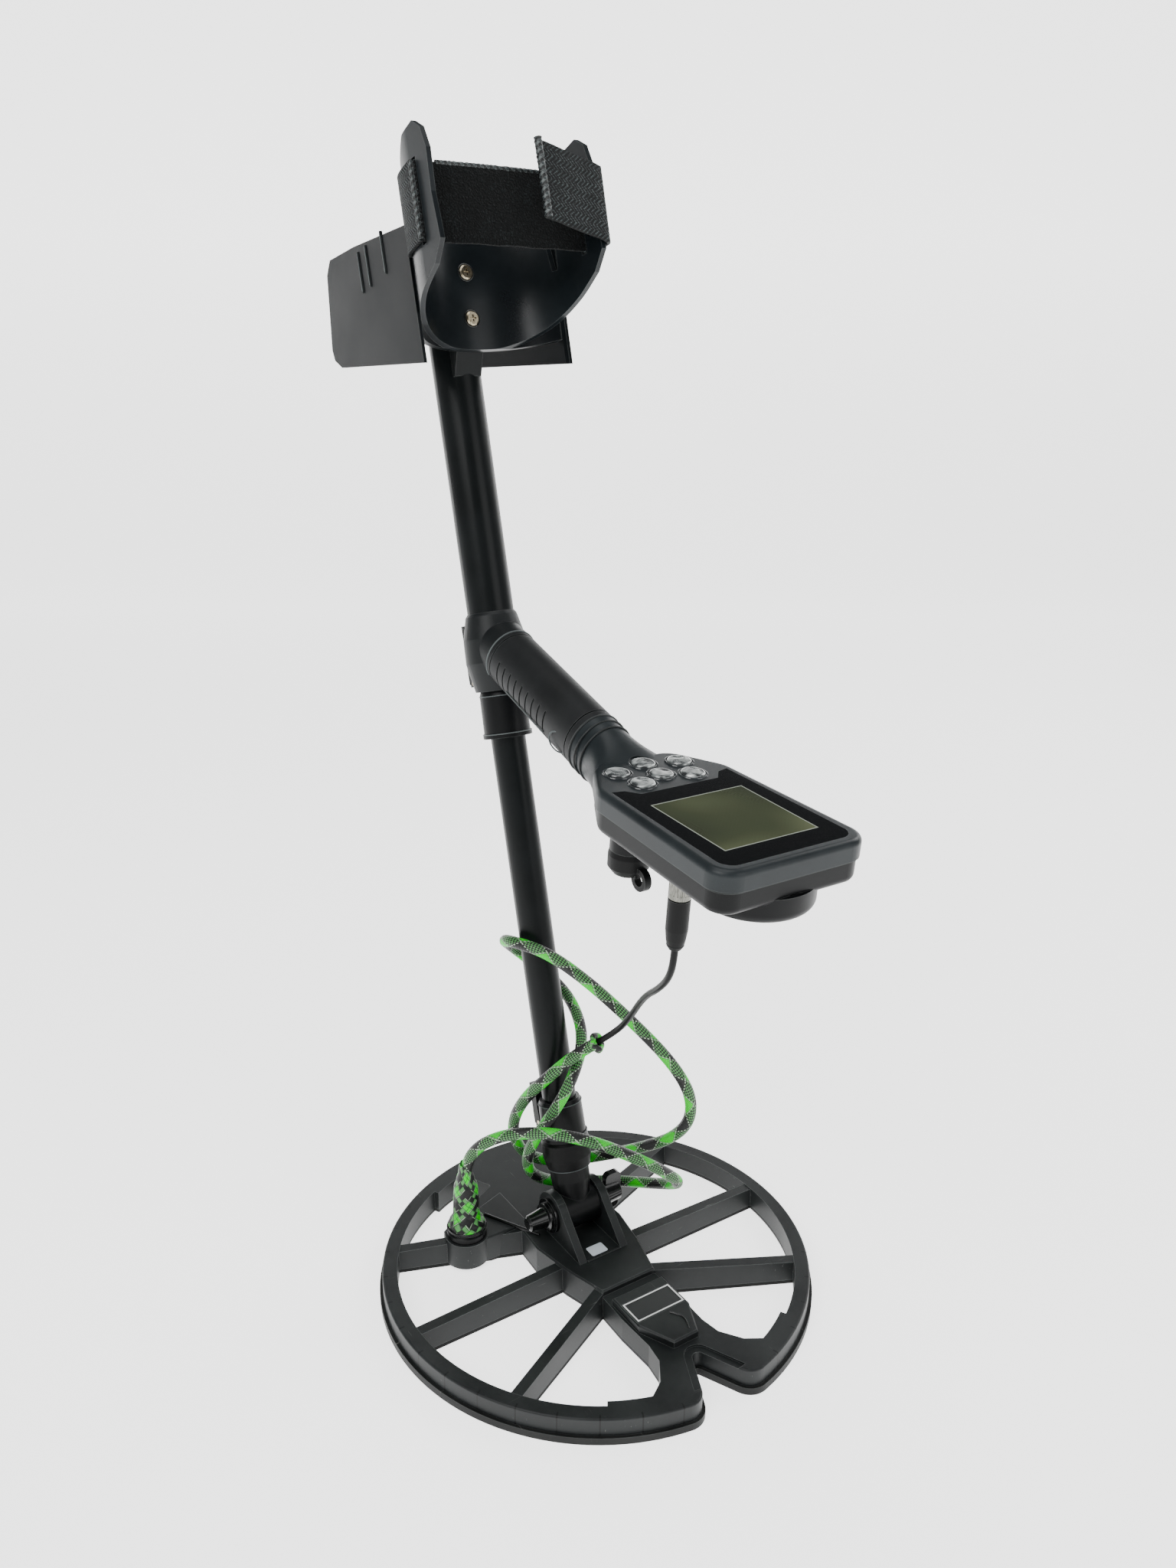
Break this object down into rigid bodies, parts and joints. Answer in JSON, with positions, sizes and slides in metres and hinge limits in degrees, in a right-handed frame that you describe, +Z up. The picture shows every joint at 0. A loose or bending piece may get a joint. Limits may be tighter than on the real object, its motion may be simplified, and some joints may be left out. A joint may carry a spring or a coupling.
{
  "type": "metal detector",
  "caption": "Handheld metal detector with spoked search coil, telescopic shaft, angled grip with screen and keypad, arm cuff and coiled cable.",
  "frame": {"origin": "centre of the search coil on the ground it stands on", "axes": "+Z up, +Y towards the coil's notched front and the screen, +X to the user's right"},
  "size_m": [0.28, 0.4158, 0.6883],
  "materials": {
    "coil_body": "moulded plastic, lightly grained, scuffed by use",
    "skid_cover": "tough matt plastic, worn underneath",
    "copper": "enamelled copper wire bundle",
    "label": "smooth label plate with a white border line",
    "black_rubber": "matt black rubber",
    "black_plastic": "fine satin black plastic",
    "dark_plastic": "fine satin charcoal plastic",
    "grey_plastic": "satin grey plastic",
    "tube_black": "smooth black carbon-filled tube, satin",
    "window_black": "glossy printed window",
    "lcd_glass": "unlit liquid-crystal glass, olive grey",
    "board_green": "solder-resist green",
    "silicone": "translucent silicone",
    "clear_button": "clear domed plastic over a silvery print",
    "battery_wrap": "shrink-wrapped cells",
    "steel": "stainless steel",
    "knurled_steel": "nickel-plated, knurled",
    "webbing": "black woven webbing",
    "braid": "braided sleeve, bright green with black blocks",
    "cable_black": "smooth black cable jacket"
  },
  "bodies": {
    "coil": {"coil_shell": "coil_body", "coil_cover": "skid_cover", "transmit_winding": "copper", "receive_winding": "copper", "coil_badge": "label", "cable_gland": "black_plastic", "cable_boot": "black_rubber", "hinge_bolt": "black_plastic", "hinge_washers": "black_rubber", "cable_sleeve": "braid", "coil_cable": "cable_black"},
    "wing_nut": {"wing_nut": "black_plastic"},
    "lower_rod": {"lower_yoke": "black_plastic", "lower_bumper": "black_rubber", "lower_tube": "tube_black"},
    "middle_rod": {"middle_tube": "tube_black", "lower_lock": "black_plastic", "lower_lock_pin": "steel"},
    "lower_lever": {"lower_lock_lever": "black_plastic"},
    "upper": {"upper_tube": "tube_black", "tube_cap": "black_plastic", "upper_lock": "black_plastic", "upper_lock_pin": "steel", "handle_frame": "dark_plastic", "grip_rubber": "black_rubber", "box_top": "grey_plastic", "box_bottom": "black_plastic", "box_seal": "black_rubber", "case_screws": "steel", "screen_window": "window_black", "screen": "lcd_glass", "circuit_board": "board_green", "keypad_mat": "silicone", "battery": "battery_wrap", "speaker": "black_plastic", "vibration_motor": "steel", "coil_socket": "black_plastic", "plug_boot": "black_rubber", "aux_socket": "black_plastic", "arm_cuff": "dark_plastic", "arm_rest": "dark_plastic", "cuff_screws": "steel", "arm_strap": "webbing"},
    "upper_lever": {"upper_lock_lever": "black_plastic"},
    "plug_nut": {"plug_nut": "knurled_steel"},
    "aux_cap": {"aux_cap": "black_rubber"},
    "button_rear_left": {"button_rear_left": "clear_button"},
    "button_rear_centre": {"button_rear_centre": "clear_button"},
    "button_rear_right": {"button_rear_right": "clear_button"},
    "button_centre": {"button_centre": "clear_button"},
    "button_front_left": {"button_front_left": "clear_button"},
    "button_front_right": {"button_front_right": "clear_button"}
  },
  "joints": [
    {"name": "coil_tilt", "type": "hinge", "parent": "coil", "child": "lower_rod", "pos_m": [0, -0.026, 0.036], "axis": [1, 0, 0], "range_deg": [-60, 65], "deforming": ["cable_sleeve", "coil_cable"]},
    {"name": "wing_nut_turn", "type": "hinge", "parent": "coil", "child": "wing_nut", "pos_m": [-0.03, -0.026, 0.036], "axis": [1, 0, 0], "continuous": true},
    {"name": "lower_extension", "type": "slide", "parent": "lower_rod", "child": "middle_rod", "axis": [0, -0.2555, 0.9668], "range_m": [0, 0.47], "deforming": ["cable_sleeve", "coil_cable"]},
    {"name": "lower_lock_open", "type": "hinge", "parent": "middle_rod", "child": "lower_lever", "pos_m": [0, -0.05681, 0.08527], "axis": [1, 0, 0], "range_deg": [0, 90]},
    {"name": "upper_extension", "type": "slide", "parent": "middle_rod", "child": "upper", "axis": [0, -0.2555, 0.9668], "range_m": [0, 0.22], "deforming": ["cable_sleeve", "coil_cable"]},
    {"name": "upper_lock_open", "type": "hinge", "parent": "upper", "child": "upper_lever", "pos_m": [0, -0.13519, 0.3702], "axis": [1, 0, 0], "range_deg": [0, 90]},
    {"name": "plug_nut_turn", "type": "hinge", "parent": "upper", "child": "plug_nut", "pos_m": [0.014, 0.0935, 0.31145], "axis": [0, 0.0837, 0.9965], "continuous": true},
    {"name": "aux_cap_pull", "type": "slide", "parent": "upper", "child": "aux_cap", "axis": [0, -0.0837, -0.9965], "range_m": [0, 0.014]},
    {"name": "rear_left_press", "type": "slide", "parent": "upper", "child": "button_rear_left", "axis": [0, -0.0837, -0.9965], "range_m": [0, 0.0012], "stiffness_N_per_m": 800},
    {"name": "rear_centre_press", "type": "slide", "parent": "upper", "child": "button_rear_centre", "axis": [0, -0.0837, -0.9965], "range_m": [0, 0.0012], "stiffness_N_per_m": 800},
    {"name": "rear_right_press", "type": "slide", "parent": "upper", "child": "button_rear_right", "axis": [0, -0.0837, -0.9965], "range_m": [0, 0.0012], "stiffness_N_per_m": 800},
    {"name": "centre_press", "type": "slide", "parent": "upper", "child": "button_centre", "axis": [0, -0.0837, -0.9965], "range_m": [0, 0.0012], "stiffness_N_per_m": 800},
    {"name": "front_left_press", "type": "slide", "parent": "upper", "child": "button_front_left", "axis": [0, -0.0837, -0.9965], "range_m": [0, 0.0012], "stiffness_N_per_m": 800},
    {"name": "front_right_press", "type": "slide", "parent": "upper", "child": "button_front_right", "axis": [0, -0.0837, -0.9965], "range_m": [0, 0.0012], "stiffness_N_per_m": 800}
  ]
}
